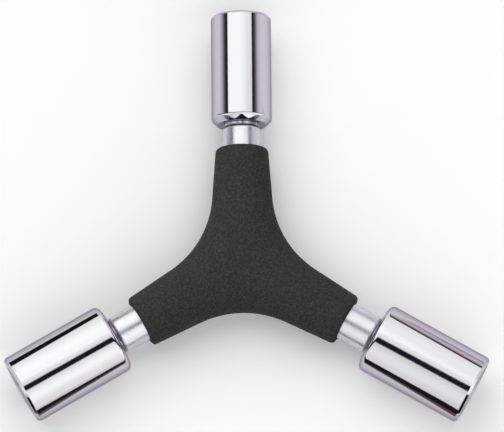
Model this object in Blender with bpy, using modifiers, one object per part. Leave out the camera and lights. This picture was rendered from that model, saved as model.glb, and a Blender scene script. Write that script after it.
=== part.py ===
"""Three-way Y socket wrench: hexagon sockets on three round bars that meet under a moulded grip.

All lengths are in metres and +Z is up. The tool lies with its arms in one level plane. The arm with
the 8 mm socket points along +Y, the 9 mm arm to the lower left and the 10 mm arm to the lower right.
The origin is under the middle of the tool's box, on the surface that the wrench lies on.
"""

import math
from collections import namedtuple

import bmesh
import bpy
from mathutils import Matrix

# Round steel bars: square cut at the hub, turned down to a spigot at the socket
BAR_DIAMETER = 0.0080
BAR_SETBACK = 0.0040
BAR_END_CHAMFER = 0.0005
BAR_SHOULDER_ROUND = 0.0006
SPIGOT_STEP = 0.0009
SPIGOT_CHAMFER = 0.0004

# Bar length left bare between the grip and the bar's shoulder
BAR_8_BARE = 0.0040
BAR_9_BARE = 0.0049
BAR_10_BARE = 0.0055

# Neck between a bar's shoulder and its socket, with a ring of braze metal sunk in it
NECK_LENGTH = 0.0012
BRAZE_RECESS = 0.0002
BRAZE_HOLLOW = 0.0001

# Sockets: bolt size across flats, outside diameter and length, domed back and chamfered mouth
HEX_8 = 0.0080
HEX_9 = 0.0090
HEX_10 = 0.0100
SOCKET_8_DIAMETER = 0.0127
SOCKET_9_DIAMETER = 0.0149
SOCKET_10_DIAMETER = 0.0150
SOCKET_8_LENGTH = 0.0235
SOCKET_9_LENGTH = 0.0224
SOCKET_10_LENGTH = 0.0233
SOCKET_BACK_DOME = 0.0053
SOCKET_BACK_EDGE_SLOPE = math.radians(46.0)
SOCKET_BACK_FOOT_SLOPE = math.radians(62.0)
SOCKET_MOUTH_CHAMFER = 0.0005

# Inside of a socket, from the mouth to the back
HEX_PLAY = 0.0001
LEAD_IN_RIM = 0.0003
PILOT_UNDERSIZE = 0.0002
PILOT_RUN_OUT = 0.0015
DRILL_POINT = math.radians(118.0)
WEB_THICKNESS = 0.0020
SEAT_DEPTH = 0.0055

# Hub core: a steel disc with a saddle for each bar
CORE_DIAMETER = 0.0124
CORE_THICKNESS = 0.0070
CORE_EDGE_BEVEL = 0.0005

# Moulded grip: three tapered round arms that run into each other in wide curves
GRIP_REACH = 0.0246
GRIP_WALL = 0.0012
GRIP_TAPER = 0.074
GRIP_VALLEY_RADIUS = 0.0206
GRIP_HUB_COVER = 0.0019
GRIP_END_ROUND = 0.0008

# Clearance between pieces that touch on the real tool
FIT_GAP = 0.0003

# How far a cutter runs past the face that it opens
OVERRUN = 0.0010

# Finishes: colour, roughness and metallic value
CHROME_FINISH = ((0.86, 0.86, 0.89), 0.06, 1.0)
BAR_FINISH = ((0.80, 0.80, 0.84), 0.18, 1.0)
BRAZE_FINISH = ((0.42, 0.42, 0.48), 0.35, 1.0)
STEEL_FINISH = ((0.33, 0.33, 0.34), 0.45, 1.0)
VINYL_FINISH = ((0.021, 0.022, 0.021), 0.72, 0.0)

# Fineness of round shapes: steps in a full turn, in a rounded or bevelled edge, and along the grip
TURN_STEPS = 40
ROUND_STEPS = 4
BEVEL_STEPS = 2
SECTION_STEPS = 9
TAPER_STEPS = 4
VALLEY_STEPS = 9
SPINE_EASE = 1.5
CREASE_ANGLE = math.radians(32.0)
MERGE_DISTANCE = 0.000001

BAR_RADIUS = BAR_DIAMETER / 2.0
SPIGOT_RADIUS = BAR_RADIUS - SPIGOT_STEP
GRIP_BORE_RADIUS = BAR_RADIUS + FIT_GAP

# The three arms share a full turn, counted from the one that points along +Y
ARM_SPACING = 2.0 * math.pi / 3.0
FIRST_HEADING = math.pi / 2.0
Arm = namedtuple("Arm", "size heading hexagon diameter length bare")
ARMS = (
    Arm("8mm", FIRST_HEADING, HEX_8, SOCKET_8_DIAMETER, SOCKET_8_LENGTH, BAR_8_BARE),
    Arm("9mm", FIRST_HEADING + ARM_SPACING, HEX_9, SOCKET_9_DIAMETER, SOCKET_9_LENGTH, BAR_9_BARE),
    Arm("10mm", FIRST_HEADING - ARM_SPACING, HEX_10, SOCKET_10_DIAMETER, SOCKET_10_LENGTH, BAR_10_BARE),
)


def shoulder_distance(arm):
    """Hub centre to the bar's shoulder."""
    return GRIP_REACH + arm.bare


def back_distance(arm):
    """Hub centre to the back face of the socket."""
    return shoulder_distance(arm) + NECK_LENGTH


def mouth_distance(arm):
    """Hub centre to the mouth of the socket."""
    return back_distance(arm) + arm.length


def rounded(radius, height, size, start, end):
    """Points of a rounded edge or back about a centre given by its radius and height."""
    points = []
    for step in range(ROUND_STEPS + 1):
        angle = start + (end - start) * step / ROUND_STEPS
        points.append((radius + size * math.cos(angle), height + size * math.sin(angle)))
    return points


def socket_outline(arm):
    """Outer edge of a socket from its mouth to its back face, heights from the back face."""
    radius = arm.diameter / 2.0
    points = [(radius - SOCKET_MOUTH_CHAMFER, arm.length)]
    points.append((radius, arm.length - SOCKET_MOUTH_CHAMFER))
    middle = radius - SOCKET_BACK_DOME * math.cos(SOCKET_BACK_EDGE_SLOPE)
    height = SOCKET_BACK_DOME * math.sin(SOCKET_BACK_FOOT_SLOPE)
    edge, foot = -SOCKET_BACK_EDGE_SLOPE, -SOCKET_BACK_FOOT_SLOPE
    points += rounded(middle, height, SOCKET_BACK_DOME, edge, foot)
    return points


def reach_towards(direction):
    """How far the sockets reach from the hub centre in one level direction."""
    reaches = []
    for arm in ARMS:
        turn = direction - arm.heading
        for radius, height in socket_outline(arm):
            along = (back_distance(arm) + height) * math.cos(turn)
            reaches.append(along + radius * abs(math.sin(turn)))
    return max(reaches)


def hub_place():
    """Hub centre, with the box's middle over the origin and the widest socket on the surface."""
    middle_x = (reach_towards(0.0) - reach_towards(math.pi)) / 2.0
    middle_y = (reach_towards(math.pi / 2.0) - reach_towards(-math.pi / 2.0)) / 2.0
    return (-middle_x, -middle_y, max(arm.diameter for arm in ARMS) / 2.0)


def clear_scene():
    for item in list(bpy.data.objects):
        bpy.data.objects.remove(item, do_unlink=True)


def new_collection(name):
    collection = bpy.data.collections.new(name)
    bpy.context.scene.collection.children.link(collection)
    return collection


def paint(item, name, finish):
    """Give one piece a material of its own."""
    colour, roughness, metallic = finish
    material = bpy.data.materials.new(name)
    material.use_nodes = True
    shader = material.node_tree.nodes["Principled BSDF"]
    shader.inputs["Base Color"].default_value = (*colour, 1.0)
    shader.inputs["Roughness"].default_value = roughness
    shader.inputs["Metallic"].default_value = metallic
    item.data.materials.append(material)


def add_empty(name, parent):
    empty = bpy.data.objects.new(name, None)
    empty.empty_display_size = BAR_DIAMETER
    PARTS.objects.link(empty)
    empty.parent = parent
    return empty


def add_mesh(name, builder, collection, parent):
    """An object from a bmesh, with faces outwards, smooth sides and sharp creases."""
    bmesh.ops.recalc_face_normals(builder, faces=builder.faces[:])
    mesh = bpy.data.meshes.new(name)
    builder.to_mesh(mesh)
    builder.free()
    mesh.shade_smooth()
    mesh.set_sharp_from_angle(angle=CREASE_ANGLE)
    item = bpy.data.objects.new(name, mesh)
    collection.objects.link(item)
    item.parent = parent
    return item


def turned(name, profile, collection, parent, is_ring=False):
    """A profile of (radius, height) points, turned about the height axis."""
    outline = bpy.data.meshes.new(name + "_profile")
    edges = [(index, index + 1) for index in range(len(profile) - 1)]
    if is_ring:
        edges.append((len(profile) - 1, 0))
    outline.from_pydata([(radius, 0.0, height) for radius, height in profile], edges, [])
    lathe = bpy.data.objects.new(name + "_lathe", outline)
    collection.objects.link(lathe)
    screw = lathe.modifiers.new("turn", "SCREW")
    screw.steps = TURN_STEPS
    screw.render_steps = TURN_STEPS
    screw.use_merge_vertices = True
    screw.merge_threshold = MERGE_DISTANCE
    evaluated = lathe.evaluated_get(bpy.context.evaluated_depsgraph_get())
    solid = bpy.data.meshes.new_from_object(evaluated)
    builder = bmesh.new()
    builder.from_mesh(solid)
    bpy.data.objects.remove(lathe, do_unlink=True)
    bpy.data.meshes.remove(outline)
    bpy.data.meshes.remove(solid)
    return add_mesh(name, builder, collection, parent)


def mark_cutter(item):
    """Mark an object as a cutter, not a piece of the wrench."""
    item.hide_render = True
    item.display_type = "WIRE"
    return item


def cut(item, cutter):
    """Take a cutter's shape out of a piece."""
    difference = item.modifiers.new(cutter.name, "BOOLEAN")
    difference.operation = "DIFFERENCE"
    difference.solver = "EXACT"
    difference.object = cutter


def make_bar_bore(arm, axis):
    """Cutter for a bar and the clearance around it, from its inner end to past the grip."""
    start = BAR_SETBACK - FIT_GAP
    end = GRIP_REACH + OVERRUN
    profile = [(0.0, end), (GRIP_BORE_RADIUS, end), (GRIP_BORE_RADIUS, start), (0.0, start)]
    return mark_cutter(turned("bar_bore_" + arm.size, profile, CUTTERS, axis))


def make_bar(arm, axis):
    """Bar with a chamfered inner end, a rounded shoulder and a spigot for the socket."""
    shoulder = shoulder_distance(arm)
    tip = back_distance(arm) + SEAT_DEPTH - FIT_GAP
    profile = [(0.0, tip), (SPIGOT_RADIUS - SPIGOT_CHAMFER, tip)]
    profile += [(SPIGOT_RADIUS, tip - SPIGOT_CHAMFER), (SPIGOT_RADIUS, shoulder)]
    middle = BAR_RADIUS - BAR_SHOULDER_ROUND
    height = shoulder - BAR_SHOULDER_ROUND
    profile += rounded(middle, height, BAR_SHOULDER_ROUND, math.pi / 2.0, 0.0)
    profile += [(BAR_RADIUS, BAR_SETBACK + BAR_END_CHAMFER)]
    profile += [(BAR_RADIUS - BAR_END_CHAMFER, BAR_SETBACK), (0.0, BAR_SETBACK)]
    bar = turned("bar_" + arm.size, profile, PARTS, axis)
    paint(bar, "plated_bar_" + arm.size, BAR_FINISH)


def make_braze_ring(arm, axis):
    """Ring of braze metal round the spigot, a little sunk and hollowed."""
    inner = SPIGOT_RADIUS + FIT_GAP
    outer = BAR_RADIUS - BRAZE_RECESS
    low = shoulder_distance(arm) + FIT_GAP
    high = back_distance(arm) - FIT_GAP
    waist = (outer - BRAZE_HOLLOW, (low + high) / 2.0)
    profile = [(inner, high), (outer, high), waist, (outer, low), (inner, low)]
    ring = turned("braze_ring_" + arm.size, profile, PARTS, axis, is_ring=True)
    paint(ring, "plated_braze_" + arm.size, BRAZE_FINISH)


def make_hex_cutter(arm, depth, axis):
    """Six-sided prism of the bolt size, from the hexagon's bottom to past the mouth."""
    corner = (arm.hexagon + HEX_PLAY) / math.sqrt(3.0)
    length = depth + OVERRUN
    builder = bmesh.new()
    middle = Matrix.Translation((0.0, 0.0, mouth_distance(arm) - depth + length / 2.0))
    bmesh.ops.create_cone(
        builder, cap_ends=True, segments=6, radius1=corner, radius2=corner, depth=length, matrix=middle
    )
    return mark_cutter(add_mesh("hexagon_" + arm.size, builder, CUTTERS, axis))


def make_pilot_cutter(arm, depth, point_length, axis):
    """Lead-in cone at the mouth, round pilot hole below the hexagon and the drill's point."""
    mouth = mouth_distance(arm)
    pilot = (arm.hexagon - PILOT_UNDERSIZE) / 2.0
    rim = (arm.hexagon + HEX_PLAY) / math.sqrt(3.0) + LEAD_IN_RIM
    bottom = mouth - depth - PILOT_RUN_OUT
    profile = [(0.0, mouth + OVERRUN), (rim + OVERRUN, mouth + OVERRUN)]
    profile += [(pilot, mouth - (rim - pilot)), (pilot, bottom), (0.0, bottom - point_length)]
    return mark_cutter(turned("pilot_" + arm.size, profile, CUTTERS, axis))


def make_socket(arm, axis):
    """Turned socket with a blind seat for the spigot and a hexagon hole in its mouth."""
    back = back_distance(arm)
    seat = SPIGOT_RADIUS + FIT_GAP
    profile = [(0.0, back + arm.length)]
    profile += [(radius, back + height) for radius, height in socket_outline(arm)]
    profile += [(seat, back), (seat, back + SEAT_DEPTH), (0.0, back + SEAT_DEPTH)]
    socket = turned("socket_" + arm.size, profile, PARTS, axis)
    point_length = (arm.hexagon - PILOT_UNDERSIZE) / 2.0 / math.tan(DRILL_POINT / 2.0)
    depth = arm.length - SEAT_DEPTH - WEB_THICKNESS - point_length - PILOT_RUN_OUT
    cut(socket, make_pilot_cutter(arm, depth, point_length, axis))
    cut(socket, make_hex_cutter(arm, depth, axis))
    paint(socket, "chrome_" + arm.size, CHROME_FINISH)


def make_hub_core(hub, bores):
    """Steel disc between the bars' square ends, with a lobe in each corner between two bars."""
    builder = bmesh.new()
    radius = CORE_DIAMETER / 2.0
    bmesh.ops.create_cone(
        builder, cap_ends=True, segments=TURN_STEPS, radius1=radius, radius2=radius, depth=CORE_THICKNESS
    )
    core = add_mesh("hub_core", builder, PARTS, hub)
    bevel = core.modifiers.new("edge", "BEVEL")
    bevel.width = CORE_EDGE_BEVEL
    bevel.segments = BEVEL_STEPS
    bevel.limit_method = "ANGLE"
    for bore in bores:
        cut(core, bore)
    paint(core, "raw_steel", STEEL_FINISH)


def grip_half_width(distance):
    """Half width of a grip arm on its straight taper."""
    return GRIP_BORE_RADIUS + GRIP_WALL + GRIP_TAPER * (GRIP_REACH - distance)


def grip_half_height(distance):
    """Half height of a grip arm: round at its end, rising to the cover over the hub."""
    end = GRIP_BORE_RADIUS + GRIP_WALL
    hub = GRIP_BORE_RADIUS + GRIP_HUB_COVER
    return hub + (end - hub) * (distance / GRIP_REACH) ** 2


def grip_stations():
    """Sections of half an arm from its end to the valley: spine, outline x, outline y, half height."""
    stations = []
    size = min(GRIP_END_ROUND, GRIP_WALL - FIT_GAP)
    for step in range(ROUND_STEPS + 1):
        angle = math.pi / 2.0 * step / ROUND_STEPS
        along = GRIP_REACH - size * (1.0 - math.cos(angle))
        inset = size * (1.0 - math.sin(angle))
        stations.append((along, along, grip_half_width(along) - inset, grip_half_height(along) - inset))
    # The valley is an arc that touches the tapers of two arms, with its centre midway between them
    slope = math.atan(GRIP_TAPER)
    between = ARM_SPACING / 2.0
    foot = grip_half_width(0.0) * math.cos(slope)
    centre = (GRIP_VALLEY_RADIUS + foot) / math.sin(between + slope)
    centre_x = centre * math.cos(between)
    centre_y = centre * math.sin(between)
    touch = centre_x - GRIP_VALLEY_RADIUS * math.sin(slope)
    straight = GRIP_REACH - size
    for step in range(1, TAPER_STEPS):
        along = straight + (touch - straight) * step / TAPER_STEPS
        stations.append((along, along, grip_half_width(along), grip_half_height(along)))
    for step in range(VALLEY_STEPS + 1):
        share = step / VALLEY_STEPS
        angle = slope + (math.pi / 2.0 - between - slope) * share
        spine = touch * (1.0 - share) ** SPINE_EASE
        outline_x = centre_x - GRIP_VALLEY_RADIUS * math.sin(angle)
        outline_y = centre_y - GRIP_VALLEY_RADIUS * math.cos(angle)
        stations.append((spine, outline_x, outline_y, grip_half_height(spine)))
    return stations


def loft_grip_sector(builder):
    """Upper half of one side of an arm: a loft from its round end to the plane between two arms."""
    rows = []
    for spine, outline_x, outline_y, half_height in grip_stations():
        row = []
        for step in range(SECTION_STEPS + 1):
            angle = math.pi / 2.0 * step / SECTION_STEPS
            x = spine + (outline_x - spine) * math.cos(angle)
            row.append(builder.verts.new((x, outline_y * math.cos(angle), half_height * math.sin(angle))))
        rows.append(row)
    for near, far in zip(rows, rows[1:]):
        for step in range(SECTION_STEPS):
            builder.faces.new((near[step], near[step + 1], far[step + 1], far[step]))
    builder.faces.new([builder.verts.new((GRIP_REACH, 0.0, 0.0))] + rows[0])


def make_grip(hub, bores):
    """Grip: the lofted sector mirrored to a whole arm, repeated three times and bored out."""
    builder = bmesh.new()
    loft_grip_sector(builder)
    for plane in ("Y", "Z"):
        whole = builder.verts[:] + builder.edges[:] + builder.faces[:]
        bmesh.ops.mirror(builder, geom=whole, axis=plane, merge_dist=MERGE_DISTANCE)
    arm = builder.verts[:] + builder.edges[:] + builder.faces[:]
    for other in ARMS[1:]:
        copy = bmesh.ops.duplicate(builder, geom=arm)["geom"]
        points = [item for item in copy if isinstance(item, bmesh.types.BMVert)]
        turn = Matrix.Rotation(other.heading - FIRST_HEADING, 3, "Z")
        bmesh.ops.rotate(builder, verts=points, matrix=turn)
    bmesh.ops.rotate(builder, verts=builder.verts[:], matrix=Matrix.Rotation(FIRST_HEADING, 3, "Z"))
    bmesh.ops.remove_doubles(builder, verts=builder.verts[:], dist=MERGE_DISTANCE)
    grip = add_mesh("grip", builder, PARTS, hub)
    recess = bmesh.new()
    radius = CORE_DIAMETER / 2.0 + FIT_GAP
    height = CORE_THICKNESS + 2.0 * FIT_GAP
    bmesh.ops.create_cone(
        recess, cap_ends=True, segments=TURN_STEPS, radius1=radius, radius2=radius, depth=height
    )
    cut(grip, mark_cutter(add_mesh("core_recess", recess, CUTTERS, hub)))
    for bore in bores:
        cut(grip, bore)
    paint(grip, "black_vinyl", VINYL_FINISH)


clear_scene()
PARTS = new_collection("y_wrench")
CUTTERS = new_collection("y_wrench_cutters")

hub_centre = add_empty("hub_centre", None)
hub_centre.location = hub_place()

bar_bores = []
for wrench_arm in ARMS:
    arm_axis = add_empty("axis_" + wrench_arm.size, hub_centre)
    arm_axis.rotation_euler = (0.0, math.pi / 2.0, wrench_arm.heading)
    make_bar(wrench_arm, arm_axis)
    make_braze_ring(wrench_arm, arm_axis)
    make_socket(wrench_arm, arm_axis)
    bar_bores.append(make_bar_bore(wrench_arm, arm_axis))

make_hub_core(hub_centre, bar_bores)
make_grip(hub_centre, bar_bores)
bpy.context.view_layer.update()
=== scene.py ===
import math
from collections import namedtuple

import bpy
from mathutils import Matrix, Vector


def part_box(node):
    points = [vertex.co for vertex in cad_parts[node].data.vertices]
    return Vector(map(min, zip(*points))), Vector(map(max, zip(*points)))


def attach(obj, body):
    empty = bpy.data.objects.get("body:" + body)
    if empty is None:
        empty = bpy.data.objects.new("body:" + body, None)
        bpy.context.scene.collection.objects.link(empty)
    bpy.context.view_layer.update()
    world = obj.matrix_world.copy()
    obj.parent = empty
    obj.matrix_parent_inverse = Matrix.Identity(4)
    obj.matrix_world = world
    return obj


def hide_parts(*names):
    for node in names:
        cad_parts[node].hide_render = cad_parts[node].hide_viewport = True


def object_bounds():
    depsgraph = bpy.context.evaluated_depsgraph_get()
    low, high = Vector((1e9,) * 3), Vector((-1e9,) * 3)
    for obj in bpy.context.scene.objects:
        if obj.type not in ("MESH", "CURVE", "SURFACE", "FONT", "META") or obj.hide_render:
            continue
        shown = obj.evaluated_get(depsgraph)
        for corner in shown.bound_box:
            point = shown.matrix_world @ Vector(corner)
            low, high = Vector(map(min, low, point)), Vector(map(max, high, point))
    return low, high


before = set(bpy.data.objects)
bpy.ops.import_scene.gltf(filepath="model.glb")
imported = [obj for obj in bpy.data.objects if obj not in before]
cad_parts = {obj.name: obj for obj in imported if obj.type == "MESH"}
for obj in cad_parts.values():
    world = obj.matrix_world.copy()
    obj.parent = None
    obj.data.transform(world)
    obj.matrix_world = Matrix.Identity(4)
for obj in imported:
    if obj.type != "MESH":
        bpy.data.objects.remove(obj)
cad_low, cad_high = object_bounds()


# The bars. Three lengths of 8 mm round steel, one for each arm, cut square where they meet at the hub
# and turned down at the outer end to a spigot for the socket. Chrome plated over the drawn surface, so
# they shine less than the polished sockets.
ARM_HEADINGS = {"8mm": math.radians(90.0), "9mm": math.radians(210.0), "10mm": math.radians(330.0)}
BAR_RADIUS = 0.0040
BAR_INNER_END = 0.0040
BAR_INNER_CHAMFER = 0.0005
BAR_SHOULDERS = {"8mm": 0.0291, "9mm": 0.0302, "10mm": 0.0310}
BAR_SHOULDER_ROUND = 0.0006
BAR_SHOULDER_STEPS = 10
SPIGOT_RADIUS = 0.0031
SPIGOT_CHAMFER = 0.0004
SPIGOT_LENGTH = 0.0058
LATHE_STEPS = 128
MERGE_DISTANCE = 1e-6
CREASE_ANGLE = math.radians(32.0)
ORIGIN = (0.0, 0.0, 0.0)

bar_low, bar_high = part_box("bar_8mm")
HUB = Vector(((bar_low.x + bar_high.x) / 2.0, bar_low.y - BAR_INNER_END, (bar_low.z + bar_high.z) / 2.0))


def arc_points(middle, radius, start, end, steps):
    """Points of an arc in a half section, as (distance from the axis, distance along it)."""
    points = []
    for step in range(steps + 1):
        angle = start + (end - start) * step / steps
        points.append((middle[0] + radius * math.cos(angle), middle[1] + radius * math.sin(angle)))
    return points


def turn_on_lathe(name, section, is_ring=False):
    """Draw half a section point by point and spin it round the Z axis."""
    bpy.ops.object.select_all(action="DESELECT")
    bpy.ops.mesh.primitive_plane_add()
    piece = bpy.context.object
    piece.name = name
    bpy.ops.object.mode_set(mode="EDIT")
    bpy.ops.mesh.merge(type="CENTER")
    bpy.ops.transform.translate(value=(section[0][0], 0.0, section[0][1]))
    points = section + section[:1] if is_ring else section
    for here, there in zip(points, points[1:]):
        step = (there[0] - here[0], 0.0, there[1] - here[1])
        bpy.ops.mesh.extrude_vertices_move(TRANSFORM_OT_translate={"value": step})
    bpy.ops.mesh.select_all(action="SELECT")
    bpy.ops.mesh.remove_doubles(threshold=MERGE_DISTANCE)
    bpy.ops.mesh.spin(steps=LATHE_STEPS, angle=2.0 * math.pi, center=ORIGIN, axis=(0.0, 0.0, 1.0))
    bpy.ops.mesh.select_all(action="SELECT")
    bpy.ops.mesh.remove_doubles(threshold=MERGE_DISTANCE)
    bpy.ops.mesh.normals_make_consistent(inside=False)
    bpy.ops.object.mode_set(mode="OBJECT")
    return piece


def select_only(piece):
    """Make a piece the one selected object and the active one."""
    bpy.ops.object.select_all(action="DESELECT")
    piece.select_set(True)
    bpy.context.view_layer.objects.active = piece


def lay_along_arm(piece, heading):
    """Turn a piece made along Z into an arm's direction, set it at the hub and fix its place."""
    select_only(piece)
    piece.rotation_euler = (0.0, math.pi / 2.0, heading)
    piece.location = HUB
    bpy.ops.object.transform_apply(location=True, rotation=True, scale=True)


def smooth_sides(piece):
    """Shade the curved sides smooth and keep the worked edges sharp."""
    select_only(piece)
    bpy.ops.object.shade_smooth_by_angle(angle=CREASE_ANGLE)


def linear(code):
    """A hex sRGB colour as linear red, green, blue and alpha."""
    shares = [int(code[place:place + 2], 16) / 255.0 for place in (1, 3, 5)]
    lights = [share / 12.92 if share <= 0.04045 else ((share + 0.055) / 1.055) ** 2.4 for share in shares]
    return lights + [1.0]


def add_node(tree, kind, settings, inputs, stops=()):
    """Add a node with its settings, its inputs set or linked from sockets, and a colour ramp's stops."""
    node = tree.nodes.new(kind)
    for key, value in settings.items():
        setattr(node, key, value)
    for key, value in inputs.items():
        if isinstance(value, bpy.types.NodeSocket):
            tree.links.new(value, node.inputs[key])
        else:
            node.inputs[key].default_value = value
    for index, (place, code) in enumerate(stops):
        element = node.color_ramp.elements[index] if index < 2 else node.color_ramp.elements.new(place)
        element.position = place
        element.color = linear(code)
    return node


def new_finish(name):
    """A material with an empty node tree, and that tree."""
    finish = bpy.data.materials.new(name)
    finish.use_nodes = True
    finish.node_tree.nodes.clear()
    return finish, finish.node_tree


# Satin chrome plate over a drawn bar: fine rings from the linishing belt, a quarter of a millimetre apart
# (drawn coarser than real ones, which wouldn't show), break the reflections up into soft, ragged lines.
# Blotches in the plate, 1.6 mm across, make it shine unevenly.
BAR_CHROME = linear("#D1CCD6")
BAR_RING_PITCH = 0.00025
BAR_RING_REACH = 0.0030
BAR_RING_DEPTH = 0.000008
BAR_BLOTCH = 0.0016


def satin_chrome(name, heading):
    """The finish of a bar, with its rings square to the arm."""
    finish, tree = new_finish(name)
    place = add_node(tree, "ShaderNodeTexCoord", {}, {}).outputs["Object"]
    rings = add_node(tree, "ShaderNodeMapping", {"vector_type": "TEXTURE"}, {
        "Vector": place, "Location": HUB, "Rotation": (0.0, 0.0, heading),
        "Scale": (BAR_RING_PITCH, BAR_RING_REACH, BAR_RING_REACH)})
    ring_noise = add_node(tree, "ShaderNodeTexNoise", {}, {
        "Vector": rings.outputs["Vector"], "Scale": 1.0, "Detail": 2.0})
    blotch_noise = add_node(tree, "ShaderNodeTexNoise", {}, {
        "Vector": place, "Scale": 1.0 / BAR_BLOTCH, "Detail": 3.0})
    both = add_node(tree, "ShaderNodeMath", {"operation": "ADD"}, {
        0: ring_noise.outputs["Fac"], 1: blotch_noise.outputs["Fac"]})
    roughness = add_node(tree, "ShaderNodeMapRange", {}, {
        "Value": both.outputs["Value"], "From Min": 0.7, "From Max": 1.3, "To Min": 0.24, "To Max": 0.36})
    bump = add_node(tree, "ShaderNodeBump", {}, {
        "Height": ring_noise.outputs["Fac"], "Strength": 0.25, "Distance": BAR_RING_DEPTH})
    surface = add_node(tree, "ShaderNodeBsdfPrincipled", {}, {
        "Base Color": BAR_CHROME, "Metallic": 1.0, "Roughness": roughness.outputs["Result"],
        "Normal": bump.outputs["Normal"]})
    add_node(tree, "ShaderNodeOutputMaterial", {}, {"Surface": surface.outputs["BSDF"]})
    return finish


for size, heading in ARM_HEADINGS.items():
    shoulder = BAR_SHOULDERS[size]
    tip = shoulder + SPIGOT_LENGTH
    section = [(0.0, tip), (SPIGOT_RADIUS - SPIGOT_CHAMFER, tip), (SPIGOT_RADIUS, tip - SPIGOT_CHAMFER)]
    section += [(SPIGOT_RADIUS, shoulder)]
    middle = (BAR_RADIUS - BAR_SHOULDER_ROUND, shoulder - BAR_SHOULDER_ROUND)
    section += arc_points(middle, BAR_SHOULDER_ROUND, math.pi / 2.0, 0.0, BAR_SHOULDER_STEPS)
    section += [(BAR_RADIUS, BAR_INNER_END + BAR_INNER_CHAMFER)]
    section += [(BAR_RADIUS - BAR_INNER_CHAMFER, BAR_INNER_END), (0.0, BAR_INNER_END)]
    bar = turn_on_lathe("turned_bar_" + size, section)
    lay_along_arm(bar, heading)
    smooth_sides(bar)
    bar.data.materials.append(satin_chrome("satin_chrome_bar_" + size, heading))
    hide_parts("bar_" + size)
    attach(bar, "root")


# The hub core. A steel disc between the square ends of the bars, welded to them and never seen again
# once the grip is moulded over it. It keeps its CAD shape and gets a turned, unplated steel surface: dull
# grey, with the lathe's rings 0.4 mm apart.
CORE_STEEL = linear("#9A9AA0")
CORE_RING_PITCH = 0.0004
CORE_RING_DEPTH = 0.00002
# A wave texture runs through 20 radians over each unit of length, at a scale of 1.
WAVE_RADIANS = 20.0

finish, tree = new_finish("turned_raw_steel")
place = add_node(tree, "ShaderNodeTexCoord", {}, {}).outputs["Object"]
around_hub = add_node(tree, "ShaderNodeMapping", {"vector_type": "TEXTURE"}, {
    "Vector": place, "Location": HUB})
tool_marks = add_node(tree, "ShaderNodeTexWave", {"wave_type": "RINGS", "rings_direction": "Z"}, {
    "Vector": around_hub.outputs["Vector"], "Distortion": 1.0,
    "Scale": 2.0 * math.pi / (WAVE_RADIANS * CORE_RING_PITCH)})
roughness = add_node(tree, "ShaderNodeMapRange", {}, {
    "Value": tool_marks.outputs["Fac"], "To Min": 0.35, "To Max": 0.5})
bump = add_node(tree, "ShaderNodeBump", {}, {
    "Height": tool_marks.outputs["Fac"], "Strength": 0.3, "Distance": CORE_RING_DEPTH})
surface = add_node(tree, "ShaderNodeBsdfPrincipled", {}, {
    "Base Color": CORE_STEEL, "Metallic": 1.0, "Roughness": roughness.outputs["Result"],
    "Normal": bump.outputs["Normal"]})
add_node(tree, "ShaderNodeOutputMaterial", {}, {"Surface": surface.outputs["BSDF"]})
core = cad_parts["hub_core"]
core.data.materials.clear()
core.data.materials.append(finish)


# The braze rings. Where the spigot goes into the socket, braze metal fills the neck between the bar's
# shoulder and the socket's back. It is plated with the rest, sunk a little, and lumpy as it set.
SOCKET_BACKS = {"8mm": 0.0298, "9mm": 0.0307, "10mm": 0.0313}
BRAZE_RADIUS = 0.0038
BRAZE_HOLLOW = 0.0002
BRAZE_STEPS = 8
SEAM = 0.00002

# Plated braze: mottled at a millimetre, bright where the metal ran smooth and dull where the flux burnt.
# The flux burnt most at the upper joint and least at the lower right one.
FLUX_MOTTLE = 0.0010
FLUX_DEPTH = 0.00006
FLUX_BURNT = {"8mm": 0.46, "9mm": 0.40, "10mm": 0.30}
FLUX_FADE_BELOW = 0.04
FLUX_FADE_ABOVE = 0.14


def plated_braze(name, burnt):
    """The finish of a braze ring: the more its flux burnt, the more of it is dull."""
    finish, tree = new_finish(name)
    place = add_node(tree, "ShaderNodeTexCoord", {}, {}).outputs["Object"]
    flux = add_node(tree, "ShaderNodeTexNoise", {}, {
        "Vector": place, "Scale": 1.0 / FLUX_MOTTLE, "Detail": 3.0})
    colour = add_node(tree, "ShaderNodeValToRGB", {}, {"Fac": flux.outputs["Fac"]}, [
        (burnt - FLUX_FADE_BELOW, "#75718A"), (burnt + FLUX_FADE_ABOVE, "#C6C2D0")])
    roughness = add_node(tree, "ShaderNodeMapRange", {}, {
        "Value": flux.outputs["Fac"], "From Min": 0.3, "From Max": 0.7, "To Min": 0.5, "To Max": 0.3})
    bump = add_node(tree, "ShaderNodeBump", {}, {
        "Height": flux.outputs["Fac"], "Strength": burnt, "Distance": FLUX_DEPTH})
    surface = add_node(tree, "ShaderNodeBsdfPrincipled", {}, {
        "Base Color": colour.outputs["Color"], "Metallic": 1.0, "Roughness": roughness.outputs["Result"],
        "Normal": bump.outputs["Normal"]})
    add_node(tree, "ShaderNodeOutputMaterial", {}, {"Surface": surface.outputs["BSDF"]})
    return finish


for size, heading in ARM_HEADINGS.items():
    low = BAR_SHOULDERS[size] + SEAM
    high = SOCKET_BACKS[size] - SEAM
    inner = SPIGOT_RADIUS + SEAM
    section = [(inner, high), (BRAZE_RADIUS, high)]
    for step in range(1, BRAZE_STEPS):
        share = step / BRAZE_STEPS
        waist = BRAZE_RADIUS - BRAZE_HOLLOW * math.sin(math.pi * share)
        section.append((waist, high + (low - high) * share))
    section += [(BRAZE_RADIUS, low), (inner, low)]
    ring = turn_on_lathe("braze_fillet_" + size, section, is_ring=True)
    lay_along_arm(ring, heading)
    smooth_sides(ring)
    ring.data.materials.append(plated_braze("plated_braze_" + size, FLUX_BURNT[size]))
    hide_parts("braze_ring_" + size)
    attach(ring, "root")


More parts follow.
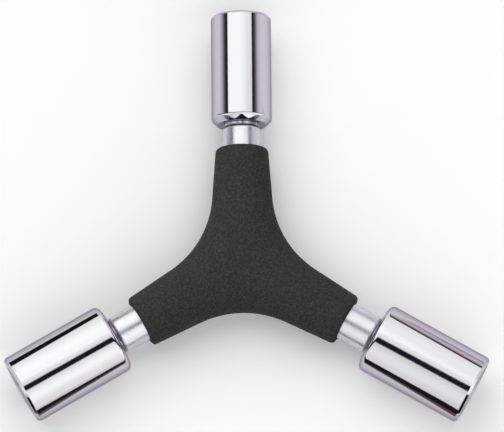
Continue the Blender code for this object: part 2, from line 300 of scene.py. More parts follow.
# The sockets. Turned from steel bar, drilled, broached to a hexagon, drilled at the back for the spigot,
# polished and chrome plated. The slim one has a domed back with a rounded edge, and the wide ones have a
# flat back with a round of 1.2 mm.
SOCKET_RADII = {"8mm": 0.00635, "9mm": 0.00745, "10mm": 0.0075}
SOCKET_MOUTHS = {"8mm": 0.0533, "9mm": 0.0531, "10mm": 0.0546}
SOCKET_MOUTH_CHAMFER = 0.0005
HEXAGONS = {"8mm": 0.0081, "9mm": 0.0091, "10mm": 0.0101}
HEXAGON_DEPTHS = {"8mm": 0.01216, "9mm": 0.01076, "10mm": 0.01136}
SOCKET_BACK_EDGES = {"8mm": 0.0007, "9mm": 0.0012, "10mm": 0.0012}
# How far a back has turned in from the side, at its edge and at its foot. Right angles leave it flat.
SOCKET_BACK_SLOPES = {
    "8mm": (math.radians(44.0), math.radians(52.5)),
    "9mm": (math.radians(90.0), math.radians(90.0)),
    "10mm": (math.radians(90.0), math.radians(90.0))}
SOCKET_BACK_DOME = 0.0090
SOCKET_EDGE_STEPS = 12
SOCKET_DOME_STEPS = 8
SEAT_RADIUS = 0.0034
SEAT_DEPTH = 0.0055
PILOT_UNDERSIZE = 0.00015
PILOT_RUN_OUT = 0.0015
LEAD_IN_RIM = 0.0003
DRILL_POINT = math.radians(118.0)
CUTTER_OVERRUN = 0.0010

# Polished chrome plate: a near-perfect mirror with a cool lilac cast, deeper towards the rim. Polishing
# leaves the shell a few micrometres out of true every millimetre or two, so that straight reflections
# waver a little, and hairlines round it (drawn coarser than real ones) that vary the gloss.
POLISHED_CHROME = linear("#C8C3CC")
CHROME_EDGE = linear("#BAB2C0")
POLISH_WAVE = 0.0016
POLISH_WAVE_DEPTH = 0.000006
POLISH_HAIR = 0.00018
POLISH_HAIR_REACH = 0.0060
# Broached plate: inside the hexagon the chrome is thin and unpolished, and the broach leaves lines along the
# hole (drawn coarser than real ones).
BROACHED_PLATE = linear("#A9A8B0")
BROACH_LINE = 0.00022
BROACH_LINE_REACH = 0.0080
BROACH_LINE_DEPTH = 0.00003


def polished_chrome(name, heading):
    """The finish of a socket's outside, with its hairlines square to the arm."""
    finish, tree = new_finish(name)
    place = add_node(tree, "ShaderNodeTexCoord", {}, {}).outputs["Object"]
    wave = add_node(tree, "ShaderNodeTexNoise", {}, {
        "Vector": place, "Scale": 1.0 / POLISH_WAVE, "Detail": 1.0})
    hairs = add_node(tree, "ShaderNodeMapping", {"vector_type": "TEXTURE"}, {
        "Vector": place, "Location": HUB, "Rotation": (0.0, 0.0, heading),
        "Scale": (POLISH_HAIR, POLISH_HAIR_REACH, POLISH_HAIR_REACH)})
    hair_noise = add_node(tree, "ShaderNodeTexNoise", {}, {
        "Vector": hairs.outputs["Vector"], "Scale": 1.0, "Detail": 2.0})
    roughness = add_node(tree, "ShaderNodeMapRange", {}, {
        "Value": hair_noise.outputs["Fac"],
        "From Min": 0.35, "From Max": 0.7, "To Min": 0.05, "To Max": 0.10})
    bump = add_node(tree, "ShaderNodeBump", {}, {
        "Height": wave.outputs["Fac"], "Strength": 0.5, "Distance": POLISH_WAVE_DEPTH})
    surface = add_node(tree, "ShaderNodeBsdfPrincipled", {}, {
        "Base Color": POLISHED_CHROME, "Metallic": 1.0, "Roughness": roughness.outputs["Result"],
        "Specular Tint": CHROME_EDGE, "Normal": bump.outputs["Normal"]})
    add_node(tree, "ShaderNodeOutputMaterial", {}, {"Surface": surface.outputs["BSDF"]})
    return finish


def broached_plate(name, heading):
    """The finish of a socket's inside, with its lines along the arm."""
    finish, tree = new_finish(name)
    place = add_node(tree, "ShaderNodeTexCoord", {}, {}).outputs["Object"]
    lines = add_node(tree, "ShaderNodeMapping", {"vector_type": "TEXTURE"}, {
        "Vector": place, "Location": HUB, "Rotation": (0.0, 0.0, heading),
        "Scale": (BROACH_LINE_REACH, BROACH_LINE, BROACH_LINE)})
    line_noise = add_node(tree, "ShaderNodeTexNoise", {}, {
        "Vector": lines.outputs["Vector"], "Scale": 1.0, "Detail": 2.0})
    roughness = add_node(tree, "ShaderNodeMapRange", {}, {
        "Value": line_noise.outputs["Fac"],
        "From Min": 0.3, "From Max": 0.7, "To Min": 0.25, "To Max": 0.45})
    bump = add_node(tree, "ShaderNodeBump", {}, {
        "Height": line_noise.outputs["Fac"], "Strength": 0.4, "Distance": BROACH_LINE_DEPTH})
    surface = add_node(tree, "ShaderNodeBsdfPrincipled", {}, {
        "Base Color": BROACHED_PLATE, "Metallic": 1.0, "Roughness": roughness.outputs["Result"],
        "Normal": bump.outputs["Normal"]})
    add_node(tree, "ShaderNodeOutputMaterial", {}, {"Surface": surface.outputs["BSDF"]})
    return finish


def cut_away(piece, cutter):
    """Take a cutter's shape out of a piece and throw the cutter away."""
    select_only(piece)
    difference = piece.modifiers.new("cut", "BOOLEAN")
    difference.operation = "DIFFERENCE"
    difference.solver = "EXACT"
    difference.object = cutter
    bpy.ops.object.modifier_apply(modifier=difference.name)
    bpy.ops.object.mode_set(mode="EDIT")
    bpy.ops.mesh.select_all(action="SELECT")
    bpy.ops.mesh.remove_doubles(threshold=MERGE_DISTANCE)
    bpy.ops.object.mode_set(mode="OBJECT")
    bpy.data.objects.remove(cutter, do_unlink=True)


for size, heading in ARM_HEADINGS.items():
    back = SOCKET_BACKS[size]
    mouth = SOCKET_MOUTHS[size]
    radius = SOCKET_RADII[size]
    section = [(0.0, mouth), (radius - SOCKET_MOUTH_CHAMFER, mouth), (radius, mouth - SOCKET_MOUTH_CHAMFER)]
    edge = SOCKET_BACK_EDGES[size]
    edge_slope, foot_slope = SOCKET_BACK_SLOPES[size]
    dome_height = back + SOCKET_BACK_DOME * math.sin(foot_slope)
    edge_height = dome_height - (SOCKET_BACK_DOME - edge) * math.sin(edge_slope)
    dome_middle = radius - edge - (SOCKET_BACK_DOME - edge) * math.cos(edge_slope)
    section += arc_points((radius - edge, edge_height), edge, 0.0, -edge_slope, SOCKET_EDGE_STEPS)
    dome = arc_points(
        (dome_middle, dome_height), SOCKET_BACK_DOME, -edge_slope, -foot_slope, SOCKET_DOME_STEPS)
    section += dome[1:]
    section += [(SEAT_RADIUS, back), (SEAT_RADIUS, back + SEAT_DEPTH), (0.0, back + SEAT_DEPTH)]
    socket = turn_on_lathe("polished_socket_" + size, section)

    corner = HEXAGONS[size] / math.sqrt(3.0)
    pilot = HEXAGONS[size] / 2.0 - PILOT_UNDERSIZE
    rim = corner + LEAD_IN_RIM
    bottom = mouth - HEXAGON_DEPTHS[size] - PILOT_RUN_OUT
    section = [(0.0, mouth + CUTTER_OVERRUN), (rim + CUTTER_OVERRUN, mouth + CUTTER_OVERRUN)]
    section += [(pilot, mouth - (rim - pilot)), (pilot, bottom)]
    section += [(0.0, bottom - pilot / math.tan(DRILL_POINT / 2.0))]
    cut_away(socket, turn_on_lathe("drill", section))
    length = HEXAGON_DEPTHS[size] + CUTTER_OVERRUN
    bpy.ops.object.select_all(action="DESELECT")
    bpy.ops.mesh.primitive_cylinder_add(
        vertices=6, radius=corner, depth=length,
        location=(0.0, 0.0, mouth - HEXAGON_DEPTHS[size] + length / 2.0))
    cut_away(socket, bpy.context.object)

    socket.data.materials.append(polished_chrome("polished_chrome_" + size, heading))
    socket.data.materials.append(broached_plate("broached_plate_" + size, heading))
    for face in socket.data.polygons:
        is_inside = math.hypot(face.center.x, face.center.y) < rim and face.center.z > back + SEAT_DEPTH
        if is_inside and face.center.z < mouth - MERGE_DISTANCE:
            face.material_index = 1
    lay_along_arm(socket, heading)
    smooth_sides(socket)
    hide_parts("socket_" + size)
    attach(socket, "root")


# The grip. Soft black vinyl, moulded in one shot over the core and the bars: three round arms that widen
# towards the hub and run into each other in wide valleys. The mould is spark-eroded, so it comes out matt.
GRIP_REACH = 0.0246
GRIP_END_RADIUS = 0.0055
GRIP_END_ROUND = 0.0008
GRIP_TAPER = 0.074
GRIP_HUB_HALF_HEIGHT = 0.0062
GRIP_VALLEY_RADIUS = 0.0206
GRIP_SPINE_EASE = 1.5
GRIP_QUARTER_STEPS = 20
GRIP_ROUND_STEPS = 6
GRIP_TAPER_STEPS = 8
GRIP_VALLEY_STEPS = 20
GRIP_RIM_BEYOND = 0.5
GRIP_BORE_CLEARANCE = 0.00006
CORE_RECESS_RADIUS = 0.0065
CORE_RECESS_HEIGHT = 0.0076

GripStation = namedtuple("GripStation", "spine x y half_height")


def grip_half_width(distance):
    """Half width of a grip arm on its straight taper."""
    return GRIP_END_RADIUS + GRIP_TAPER * (GRIP_REACH - distance)


def grip_half_height(distance):
    """Half height of a grip arm: round at its end, rising to the cover over the hub."""
    return GRIP_HUB_HALF_HEIGHT + (GRIP_END_RADIUS - GRIP_HUB_HALF_HEIGHT) * (distance / GRIP_REACH) ** 2


def grip_stations():
    """Sections of half an arm, from its end to the valley: place on the spine, outline, half height."""
    stations = []
    for step in range(GRIP_ROUND_STEPS + 1):
        angle = math.pi / 2.0 * step / GRIP_ROUND_STEPS
        along = GRIP_REACH - GRIP_END_ROUND * (1.0 - math.cos(angle))
        inset = GRIP_END_ROUND * (1.0 - math.sin(angle))
        half_width = grip_half_width(along) - inset
        stations.append(GripStation(along, along, half_width, grip_half_height(along) - inset))
    slope = math.atan(GRIP_TAPER)
    between = math.radians(60.0)
    foot = grip_half_width(0.0) * math.cos(slope)
    centre = (GRIP_VALLEY_RADIUS + foot) / math.sin(between + slope)
    touch = centre * math.cos(between) - GRIP_VALLEY_RADIUS * math.sin(slope)
    straight = GRIP_REACH - GRIP_END_ROUND
    for step in range(1, GRIP_TAPER_STEPS):
        along = straight + (touch - straight) * step / GRIP_TAPER_STEPS
        stations.append(GripStation(along, along, grip_half_width(along), grip_half_height(along)))
    for step in range(GRIP_VALLEY_STEPS + 1):
        share = step / GRIP_VALLEY_STEPS
        angle = slope + (math.pi / 2.0 - between - slope) * share
        spine = touch * (1.0 - share) ** GRIP_SPINE_EASE
        outline_x = centre * math.cos(between) - GRIP_VALLEY_RADIUS * math.sin(angle)
        outline_y = centre * math.sin(between) - GRIP_VALLEY_RADIUS * math.cos(angle)
        stations.append(GripStation(spine, outline_x, outline_y, grip_half_height(spine)))
    return stations


# A quarter of a disc closes the arm's end, and its rim is drawn out from station to station.
bpy.ops.object.select_all(action="DESELECT")
bpy.ops.mesh.primitive_circle_add(vertices=4 * GRIP_QUARTER_STEPS, radius=1.0, fill_type="TRIFAN")
grip = bpy.context.object
grip.name = "moulded_grip"
bpy.ops.object.mode_set(mode="EDIT")
bpy.ops.transform.rotate(value=math.pi / 2.0, orient_axis="Y", center_override=ORIGIN)
bpy.ops.mesh.select_all(action="DESELECT")
bpy.ops.object.mode_set(mode="OBJECT")
for point in grip.data.vertices:
    point.select = point.co.y < -MERGE_DISTANCE or point.co.z < -MERGE_DISTANCE
bpy.ops.object.mode_set(mode="EDIT")
bpy.ops.mesh.select_mode(type="VERT")
bpy.ops.mesh.delete(type="VERT")
stations = grip_stations()
end = stations[0]
bpy.ops.mesh.select_all(action="SELECT")
bpy.ops.transform.resize(value=(1.0, end.y, end.half_height), center_override=ORIGIN)
bpy.ops.transform.translate(value=(end.spine, 0.0, 0.0))
bpy.ops.mesh.select_all(action="DESELECT")
bpy.ops.object.mode_set(mode="OBJECT")
for edge in grip.data.edges:
    tips = [grip.data.vertices[index].co for index in edge.vertices]
    distances = [math.hypot(tip.y / end.y, tip.z / end.half_height) for tip in tips]
    edge.select = min(distances) > GRIP_RIM_BEYOND
bpy.ops.object.mode_set(mode="EDIT")
bpy.ops.mesh.select_mode(type="EDGE")
for here, there in zip(stations, stations[1:]):
    across = math.hypot(there.x - there.spine, there.y) / math.hypot(here.x - here.spine, here.y)
    turn = math.atan2(there.y, there.x - there.spine) - math.atan2(here.y, here.x - here.spine)
    foot = (here.spine, 0.0, 0.0)
    bpy.ops.mesh.extrude_region_move(TRANSFORM_OT_translate={"value": (0.0, 0.0, 0.0)})
    growth = (across, across, there.half_height / here.half_height)
    bpy.ops.transform.resize(value=growth, center_override=foot)
    bpy.ops.transform.rotate(value=-turn, orient_axis="Z", center_override=foot)
    bpy.ops.transform.translate(value=(there.spine - here.spine, 0.0, 0.0))
bpy.ops.object.mode_set(mode="OBJECT")

# The quarter is mirrored to a whole arm, and the arm is copied to the other two headings and joined.
mirror = grip.modifiers.new("other_sides", "MIRROR")
mirror.use_axis = (False, True, True)
mirror.merge_threshold = MERGE_DISTANCE
bpy.ops.object.modifier_apply(modifier=mirror.name)
sectors = [grip]
for heading in (ARM_HEADINGS["9mm"], ARM_HEADINGS["10mm"]):
    select_only(grip)
    bpy.ops.object.duplicate()
    sector = bpy.context.object
    sector.rotation_euler = (0.0, 0.0, heading)
    sectors.append(sector)
grip.rotation_euler = (0.0, 0.0, ARM_HEADINGS["8mm"])
for sector in sectors:
    sector.location = HUB
    sector.select_set(True)
bpy.context.view_layer.objects.active = grip
bpy.ops.object.transform_apply(location=True, rotation=True, scale=True)
bpy.ops.object.join()
bpy.ops.object.mode_set(mode="EDIT")
bpy.ops.mesh.select_all(action="SELECT")
bpy.ops.mesh.remove_doubles(threshold=MERGE_DISTANCE)
bpy.ops.mesh.normals_make_consistent(inside=False)
bpy.ops.object.mode_set(mode="OBJECT")

# The bars and the core take their room out of the moulding.
for heading in ARM_HEADINGS.values():
    start = BAR_INNER_END - GRIP_BORE_CLEARANCE
    length = GRIP_REACH + CUTTER_OVERRUN - start
    bore = BAR_RADIUS + GRIP_BORE_CLEARANCE
    middle = HUB + Vector((math.cos(heading), math.sin(heading), 0.0)) * (start + length / 2.0)
    bpy.ops.object.select_all(action="DESELECT")
    bpy.ops.mesh.primitive_cylinder_add(
        vertices=LATHE_STEPS, radius=bore, depth=length, location=middle,
        rotation=(0.0, math.pi / 2.0, heading))
    cut_away(grip, bpy.context.object)
bpy.ops.object.select_all(action="DESELECT")
bpy.ops.mesh.primitive_cylinder_add(
    vertices=LATHE_STEPS, radius=CORE_RECESS_RADIUS, depth=CORE_RECESS_HEIGHT, location=HUB)
cut_away(grip, bpy.context.object)
smooth_sides(grip)

# Moulded vinyl: near black and dull all over, a little cloudy from its pigment, with the pebble grain of a
# spark-eroded mould, whose tops are glossier and are also painted a little lighter, a painted highlight. The
# pips are 0.4 mm apart, drawn a little coarser than real ones so that they show.
VINYL_GRAIN = 0.00040
VINYL_GRAIN_DEPTH = 0.0002
VINYL_PIGMENT = 0.0040
VINYL_PIGMENT_SHADE = 0.3
finish, tree = new_finish("matt_moulded_vinyl")
place = add_node(tree, "ShaderNodeTexCoord", {}, {}).outputs["Object"]
pips = add_node(tree, "ShaderNodeTexVoronoi", {"feature": "SMOOTH_F1"}, {
    "Vector": place, "Scale": 1.0 / VINYL_GRAIN, "Smoothness": 0.6})
grit = add_node(tree, "ShaderNodeTexNoise", {}, {"Vector": place, "Scale": 1.0 / VINYL_GRAIN, "Detail": 3.0})
height = add_node(tree, "ShaderNodeMath", {"operation": "SUBTRACT"}, {
    0: grit.outputs["Fac"], 1: pips.outputs["Distance"]})
pigment = add_node(tree, "ShaderNodeTexNoise", {}, {
    "Vector": place, "Scale": 1.0 / VINYL_PIGMENT, "Detail": 4.0})
shade = add_node(tree, "ShaderNodeMath", {"operation": "MULTIPLY_ADD"}, {
    0: pigment.outputs["Fac"], 1: VINYL_PIGMENT_SHADE, 2: height.outputs["Value"]})
# Painted highlight: the grain's tops are painted lighter than its pits, on top of the pigment's real
# clouding.
colour = add_node(tree, "ShaderNodeValToRGB", {}, {"Fac": shade.outputs["Value"]}, [
    (0.0, "#262626"), (0.25, "#2C2C2B"), (0.5, "#333232")])
roughness = add_node(tree, "ShaderNodeMapRange", {}, {
    "Value": height.outputs["Value"], "From Min": -0.2, "From Max": 0.5, "To Min": 0.85, "To Max": 0.6})
bump = add_node(tree, "ShaderNodeBump", {}, {
    "Height": height.outputs["Value"], "Strength": 0.8, "Distance": VINYL_GRAIN_DEPTH})
surface = add_node(tree, "ShaderNodeBsdfPrincipled", {}, {
    "Base Color": colour.outputs["Color"], "Roughness": roughness.outputs["Result"],
    "Specular IOR Level": 0.1, "Normal": bump.outputs["Normal"]})
add_node(tree, "ShaderNodeOutputMaterial", {}, {"Surface": surface.outputs["BSDF"]})
grip.data.materials.append(finish)
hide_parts("grip")
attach(grip, "root")


# The table. A plain sheet of white paper, level with the undersides of the two wide sockets, on which the
# tool lies. It is dull, and it takes the tool's soft shadow.
FLOOR_SIZE = 8.0
PAPER_WHITE = linear("#FBF6FB")

bpy.ops.object.select_all(action="DESELECT")
bpy.ops.mesh.primitive_plane_add(size=FLOOR_SIZE, location=(0.0, 0.0, cad_low.z))
floor = bpy.context.object
floor.name = "white_table"
bpy.ops.object.transform_apply(location=True, rotation=True, scale=True)
finish, tree = new_finish("white_paper")
surface = add_node(tree, "ShaderNodeBsdfPrincipled", {}, {
    "Base Color": PAPER_WHITE, "Roughness": 0.9, "Specular IOR Level": 0.0})
add_node(tree, "ShaderNodeOutputMaterial", {}, {"Surface": surface.outputs["BSDF"]})
floor.data.materials.append(finish)


# The dark card. A sheet of dark card lies on the table in front of the tool, just out of the picture. The
# lower two sockets mirror it as the dark line along their lower edges, brown where a pale brown painted
# highlight runs along its near edge. Its right side is cut on the slant.
DARK_CARD_NEAR = -0.052
DARK_CARD_MIDDLE = -0.05
DARK_CARD_SIZE = 0.30
DARK_CARD_LIFT = 0.0001
DARK_CARD_PAINTED_LIGHT_FADE = 0.016
DARK_CARD_CUT = (0.006, -0.106, 0.0)
DARK_CARD_CUT_NORMAL = (0.823, -0.568, 0.0)


def leave_to_mirrors(thing):
    """Hide a thing from the camera, from diffuse light and from shadows, so that only the metal shows it."""
    thing.visible_camera = False
    thing.visible_diffuse = False
    thing.visible_shadow = False


bpy.ops.object.select_all(action="DESELECT")
bpy.ops.mesh.primitive_plane_add(size=DARK_CARD_SIZE, location=(
    DARK_CARD_MIDDLE, DARK_CARD_NEAR - DARK_CARD_SIZE / 2.0, cad_low.z + DARK_CARD_LIFT))
card = bpy.context.object
card.name = "dark_card"
bpy.ops.object.transform_apply(location=True, rotation=True, scale=True)
bpy.ops.object.mode_set(mode="EDIT")
bpy.ops.mesh.select_all(action="SELECT")
bpy.ops.mesh.bisect(plane_co=DARK_CARD_CUT, plane_no=DARK_CARD_CUT_NORMAL, clear_outer=True)
bpy.ops.object.mode_set(mode="OBJECT")
finish, tree = new_finish("dark_card")
place = add_node(tree, "ShaderNodeTexCoord", {}, {}).outputs["Object"]
parts = add_node(tree, "ShaderNodeSeparateXYZ", {}, {"Vector": place})
# Painted highlight: the card is painted pale brown at its near edge and fades to near black behind it.
share = add_node(tree, "ShaderNodeMapRange", {}, {
    "Value": parts.outputs["Y"], "From Min": DARK_CARD_NEAR, "From Max": DARK_CARD_NEAR - DARK_CARD_PAINTED_LIGHT_FADE})
colour = add_node(tree, "ShaderNodeValToRGB", {}, {"Fac": share.outputs["Result"]}, [
    (0.0, "#8A7A86"), (0.5, "#4A3A40"), (1.0, "#1C181C")])
surface = add_node(tree, "ShaderNodeBsdfDiffuse", {}, {"Color": colour.outputs["Color"]})
add_node(tree, "ShaderNodeOutputMaterial", {}, {"Surface": surface.outputs["BSDF"]})
card.data.materials.append(finish)
leave_to_mirrors(card)


# The standing card. A black card stands on the table left of the picture, along the lower left socket, which
# mirrors it as the black line along its upper edge.
STANDING_CARD_LENGTH = 0.0365
STANDING_CARD_HEIGHT = 0.0174
STANDING_CARD_AWAY = 0.062
STANDING_CARD_ALONG = 0.04175
STANDING_CARD_BLACK = linear("#1A1620")


def stand_card(name, place, heading, length, height):
    """Stand a card on the table, with its middle over a place and its length along a heading."""
    bpy.ops.object.select_all(action="DESELECT")
    middle = (place.x, place.y, cad_low.z + height / 2.0)
    bpy.ops.mesh.primitive_plane_add(size=1.0, location=middle, rotation=(math.pi / 2.0, 0.0, heading))
    piece = bpy.context.object
    piece.name = name
    piece.scale = (length, height, 1.0)
    bpy.ops.object.transform_apply(location=True, rotation=True, scale=True)
    return piece


def beside_arm(size, along, left):
    """A point at a distance along an arm from the hub and a distance to the arm's left."""
    return HUB + Matrix.Rotation(ARM_HEADINGS[size], 3, "Z") @ Vector((along, left, 0.0))


def matt_paint(name, colour):
    """Matt paint of one colour."""
    finish, tree = new_finish(name)
    surface = add_node(tree, "ShaderNodeBsdfDiffuse", {}, {"Color": colour})
    add_node(tree, "ShaderNodeOutputMaterial", {}, {"Surface": surface.outputs["BSDF"]})
    return finish


standing_card = stand_card(
    "standing_card", beside_arm("9mm", STANDING_CARD_ALONG, -STANDING_CARD_AWAY), ARM_HEADINGS["9mm"],
    STANDING_CARD_LENGTH, STANDING_CARD_HEIGHT)
standing_card.data.materials.append(matt_paint("standing_card", STANDING_CARD_BLACK))
leave_to_mirrors(standing_card)


# The lilac card. It stands on the table behind the picture's right side, along the lower right socket, which
# mirrors it as the rose band along its upper edge. It is painted paler towards its top and darker at its
# foot, painted light and shade, and its near end is cut on the slant.
LILAC_CARD_LENGTH = 0.0332
LILAC_CARD_HEIGHT = 0.0175
LILAC_CARD_AWAY = 0.068
LILAC_CARD_ALONG = 0.0414
LILAC_CARD_SLANT = 0.0065

lilac_card = stand_card(
    "lilac_card", beside_arm("10mm", LILAC_CARD_ALONG, LILAC_CARD_AWAY), ARM_HEADINGS["10mm"],
    LILAC_CARD_LENGTH, LILAC_CARD_HEIGHT)
near_end = beside_arm("10mm", LILAC_CARD_ALONG - LILAC_CARD_LENGTH / 2.0, LILAC_CARD_AWAY)
near_end.z = cad_low.z + LILAC_CARD_HEIGHT
slant = Vector((-LILAC_CARD_HEIGHT, 0.0, -LILAC_CARD_SLANT))
slant.rotate(Matrix.Rotation(ARM_HEADINGS["10mm"], 3, "Z"))
bpy.ops.object.mode_set(mode="EDIT")
bpy.ops.mesh.select_all(action="SELECT")
bpy.ops.mesh.bisect(plane_co=near_end, plane_no=slant, clear_outer=True)
bpy.ops.object.mode_set(mode="OBJECT")
finish, tree = new_finish("lilac_card")
place = add_node(tree, "ShaderNodeTexCoord", {}, {}).outputs["Object"]
parts = add_node(tree, "ShaderNodeSeparateXYZ", {}, {"Vector": place})
# Painted light and shade: the colour runs from a darker lilac at the card's foot to a paler one at its top.
share = add_node(tree, "ShaderNodeMapRange", {}, {
    "Value": parts.outputs["Z"], "From Min": cad_low.z, "From Max": cad_low.z + LILAC_CARD_HEIGHT})
colour = add_node(tree, "ShaderNodeValToRGB", {}, {"Fac": share.outputs["Result"]}, [
    (0.0, "#A59BB2"), (0.3, "#C9B7CC"), (0.7, "#E6D2E4")])
surface = add_node(tree, "ShaderNodeBsdfDiffuse", {}, {"Color": colour.outputs["Color"]})
add_node(tree, "ShaderNodeOutputMaterial", {}, {"Surface": surface.outputs["BSDF"]})
lilac_card.data.materials.append(finish)
leave_to_mirrors(lilac_card)


# The corner card. A small black card stands beyond the picture's lower right corner. The chamfer of the
# lower right socket's mouth mirrors it as the black line that joins the ends of two long ones.
CORNER_CARD_LENGTH = 0.015
CORNER_CARD_HEIGHT = 0.0152
CORNER_CARD_AWAY = 0.0115
CORNER_CARD_ALONG = 0.0661
CORNER_CARD_TURN = math.radians(52.0)
STAGE_BLACK = linear("#121014")

corner_card = stand_card(
    "corner_card", beside_arm("10mm", CORNER_CARD_ALONG, -CORNER_CARD_AWAY),
    ARM_HEADINGS["10mm"] + CORNER_CARD_TURN, CORNER_CARD_LENGTH, CORNER_CARD_HEIGHT)
corner_card.data.materials.append(matt_paint("corner_card", STAGE_BLACK))
leave_to_mirrors(corner_card)


# The stand. A black cone, wide at the foot, is far in front of the tool, and the upper socket mirrors it as
# the small black triangle in the middle of its domed back.
STAND_AWAY = 0.83
STAND_RADIUS = 0.25
STAND_HEIGHT = 0.34
STAND_SIDES = 48

bpy.ops.object.select_all(action="DESELECT")
bpy.ops.mesh.primitive_cone_add(
    vertices=STAND_SIDES, radius1=STAND_RADIUS, depth=STAND_HEIGHT,
    location=(HUB.x, HUB.y - STAND_AWAY, cad_low.z + STAND_HEIGHT / 2.0))
stand = bpy.context.object
stand.name = "black_stand"
bpy.ops.object.transform_apply(location=True, rotation=True, scale=True)
stand.data.materials.append(matt_paint("black_stand", STAGE_BLACK))
leave_to_mirrors(stand)


# The studio. Two soft white light panels over the table, one behind the other, with a narrow dark gap
# between them above the tool. The rear panel ends left and right in dark, and beyond that the room is a
# dim lilac. The chrome mirrors all of it, as long dark lines between white and lilac bands.
GAP_NORMAL = (-0.0751, 0.9847, 0.1574)
GAP_END_LOW = 0.04
GAP_END_HIGH = 0.12
GAP_END_LIGHT = 0.73
LEFT_EDGE_NORMAL = (0.6524, 0.1585, 0.7411)
RIGHT_EDGE_NORMAL = (-0.7833, 0.1461, 0.6042)
RIGHT_EDGE_NARROWING = 3.5
STUDIO_LEVEL = 1.75

world = bpy.data.worlds.new("studio")
bpy.context.scene.world = world
world.use_nodes = True
tree = world.node_tree
tree.nodes.clear()
ray = add_node(tree, "ShaderNodeTexCoord", {}, {}).outputs["Generated"]
ray_parts = add_node(tree, "ShaderNodeSeparateXYZ", {}, {"Vector": ray})

# The panels are a little greyer next to the gap, and dimmer to the rear right and the front left. They are
# faintly green, which balances the lilac of the chrome. The gap closes near the horizon.
from_gap = add_node(tree, "ShaderNodeVectorMath", {"operation": "DOT_PRODUCT"}, {0: ray, 1: GAP_NORMAL})
panel_place = add_node(tree, "ShaderNodeMapRange", {}, {
    "Value": from_gap.outputs["Value"], "From Min": -1.0, "From Max": 1.0})
panels = add_node(tree, "ShaderNodeValToRGB", {}, {"Fac": panel_place.outputs["Result"]}, [
    (0.0, "#FFFFFF"), (0.05, "#FFFFFF"), (0.065, "#DCDCDC"), (0.1, "#E0E0E0"), (0.16, "#EFEFEF"),
    (0.22, "#FAFAFA"), (0.3, "#F5F5F5"), (0.375, "#E5E5E5"), (0.427, "#DEDEDE"), (0.444, "#181522"),
    (0.556, "#181522"), (0.573, "#DEDEDE"), (0.64, "#E4E4E4"), (0.7, "#FAFAFA"), (0.8, "#FCFCFC"),
    (0.875, "#FFFFFF"), (0.93, "#F7F7F7"), (0.975, "#E5E5E5")])
gap_end = add_node(tree, "ShaderNodeMapRange", {}, {
    "Value": ray_parts.outputs["Z"], "From Min": GAP_END_LOW, "From Max": GAP_END_HIGH,
    "To Min": GAP_END_LIGHT, "To Max": 0.0})
closed_panels = add_node(tree, "ShaderNodeVectorMath", {"operation": "MAXIMUM"}, {
    0: panels.outputs["Color"], 1: gap_end.outputs["Result"]})
askew = add_node(tree, "ShaderNodeMath", {"operation": "MULTIPLY"}, {
    0: ray_parts.outputs["X"], 1: ray_parts.outputs["Y"]})
across = add_node(tree, "ShaderNodeValToRGB", {}, {"Fac": askew.outputs["Value"]}, [
    (0.0, "#F9FFF9"), (0.1, "#E9EEE9"), (0.3, "#E4E9E4")])
lit_panels = add_node(tree, "ShaderNodeVectorMath", {"operation": "MULTIPLY"}, {
    0: closed_panels.outputs["Vector"], 1: across.outputs["Color"]})

# The rear panel's left and right ends: from white to dark, and out to the lilac of the room.
from_left = add_node(tree, "ShaderNodeVectorMath", {"operation": "DOT_PRODUCT"}, {
    0: ray, 1: LEFT_EDGE_NORMAL})
left_place = add_node(tree, "ShaderNodeMapRange", {}, {
    "Value": from_left.outputs["Value"], "From Min": -0.8, "From Max": 0.2})
left_side = add_node(tree, "ShaderNodeValToRGB", {}, {"Fac": left_place.outputs["Result"]}, [
    (0.17, "#BEB9C0"), (0.252, "#BBB6BE"), (0.339, "#ABA6AE"), (0.427, "#89858B"), (0.515, "#59565B"),
    (0.604, "#282629"), (0.77, "#1C1826"), (0.8, "#FFFFFF")])
from_right = add_node(tree, "ShaderNodeVectorMath", {"operation": "DOT_PRODUCT"}, {
    0: ray, 1: RIGHT_EDGE_NORMAL})
rearward = add_node(tree, "ShaderNodeMath", {"operation": "MULTIPLY"}, {
    0: ray_parts.outputs["Y"], 1: ray_parts.outputs["Y"]})
narrowing = add_node(tree, "ShaderNodeMath", {"operation": "MULTIPLY_ADD"}, {
    0: rearward.outputs["Value"], 1: RIGHT_EDGE_NARROWING, 2: 1.0})
narrowed = add_node(tree, "ShaderNodeMath", {"operation": "MULTIPLY"}, {
    0: from_right.outputs["Value"], 1: narrowing.outputs["Value"]})
right_place = add_node(tree, "ShaderNodeMapRange", {}, {
    "Value": narrowed.outputs["Value"], "From Min": -1.0, "From Max": 0.2})
right_side = add_node(tree, "ShaderNodeValToRGB", {}, {"Fac": right_place.outputs["Result"]}, [
    (0.161, "#C9C3CC"), (0.311, "#BCB7BF"), (0.391, "#B0ABB3"), (0.472, "#948F96"), (0.554, "#646166"),
    (0.637, "#3B393C"), (0.72, "#1D1A1E"), (0.81, "#1C1826"), (0.834, "#FFFFFF")])
sides = add_node(tree, "ShaderNodeVectorMath", {"operation": "MULTIPLY"}, {
    0: left_side.outputs["Color"], 1: right_side.outputs["Color"]})
is_rear = add_node(tree, "ShaderNodeMath", {"operation": "GREATER_THAN"}, {
    0: from_gap.outputs["Value"], 1: 0.0})
ends = add_node(tree, "ShaderNodeMix", {"data_type": "VECTOR"}, {
    0: is_rear.outputs["Value"], 4: (1.0, 1.0, 1.0), 5: sides.outputs["Vector"]})
room = add_node(tree, "ShaderNodeVectorMath", {"operation": "MINIMUM"}, {
    0: lit_panels.outputs["Vector"], 1: ends.outputs[1]})
background = add_node(tree, "ShaderNodeBackground", {}, {
    "Color": room.outputs["Vector"], "Strength": STUDIO_LEVEL})
add_node(tree, "ShaderNodeOutputWorld", {}, {"Surface": background.outputs["Background"]})


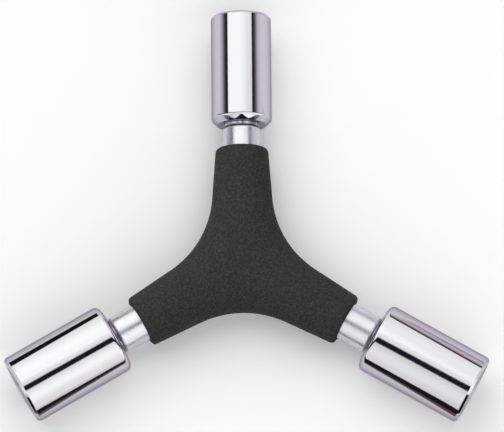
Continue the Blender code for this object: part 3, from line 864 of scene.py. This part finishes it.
# The key lamp. A soft square lamp at the upper left gives the grip its shape. It is linked to the grip
# alone, so that the table and the chrome stay as the panels light them.
KEY_LAMP_SIZE = 0.4
KEY_LAMP_POWER = 5.6
KEY_LAMP_PLACE = (-0.55, 0.40, 0.70)

lamp = bpy.data.objects.new("key_lamp", bpy.data.lights.new("key_lamp", "AREA"))
bpy.context.scene.collection.objects.link(lamp)
lamp.data.shape = "SQUARE"
lamp.data.size = KEY_LAMP_SIZE
lamp.data.energy = KEY_LAMP_POWER
lamp.location = KEY_LAMP_PLACE
lamp.rotation_euler = lamp.location.to_track_quat("Z", "Y").to_euler()
lit_by_key = bpy.data.collections.new("lit_by_key")
lit_by_key.objects.link(grip)
lamp.light_linking.receiver_collection = lit_by_key


# The camera. It looks down on the table from 0.8 m, leaning back 14 degrees from straight above, so that
# the back of the upper socket shows.
CAMERA_LEAN = math.radians(14.0)
CAMERA_SWING = math.radians(-0.3)
CAMERA_ROLL = math.radians(0.51)
CAMERA_DISTANCE = 0.800
CAMERA_OFFSET = (0.001903, 0.009950)
CAMERA_LENS = 274.86
CAMERA_SENSOR = 36.0

towards = Vector((
    math.sin(CAMERA_SWING) * math.cos(CAMERA_LEAN), -math.sin(CAMERA_LEAN),
    math.cos(CAMERA_SWING) * math.cos(CAMERA_LEAN)))
upright = (Vector((0.0, 1.0, 0.0)) - towards * towards.y).normalized()
level = upright.cross(towards)
right = level * math.cos(CAMERA_ROLL) - upright * math.sin(CAMERA_ROLL)
up = level * math.sin(CAMERA_ROLL) + upright * math.cos(CAMERA_ROLL)
camera = bpy.data.objects.new("camera", bpy.data.cameras.new("camera"))
bpy.context.scene.collection.objects.link(camera)
camera.matrix_world = Matrix((right, up, towards)).transposed().to_4x4()
camera.location = HUB + right * CAMERA_OFFSET[0] + up * CAMERA_OFFSET[1] + towards * CAMERA_DISTANCE
camera.data.lens = CAMERA_LENS
camera.data.sensor_width = CAMERA_SENSOR
bpy.context.scene.camera = camera
bpy.context.scene.view_settings.view_transform = "Standard"
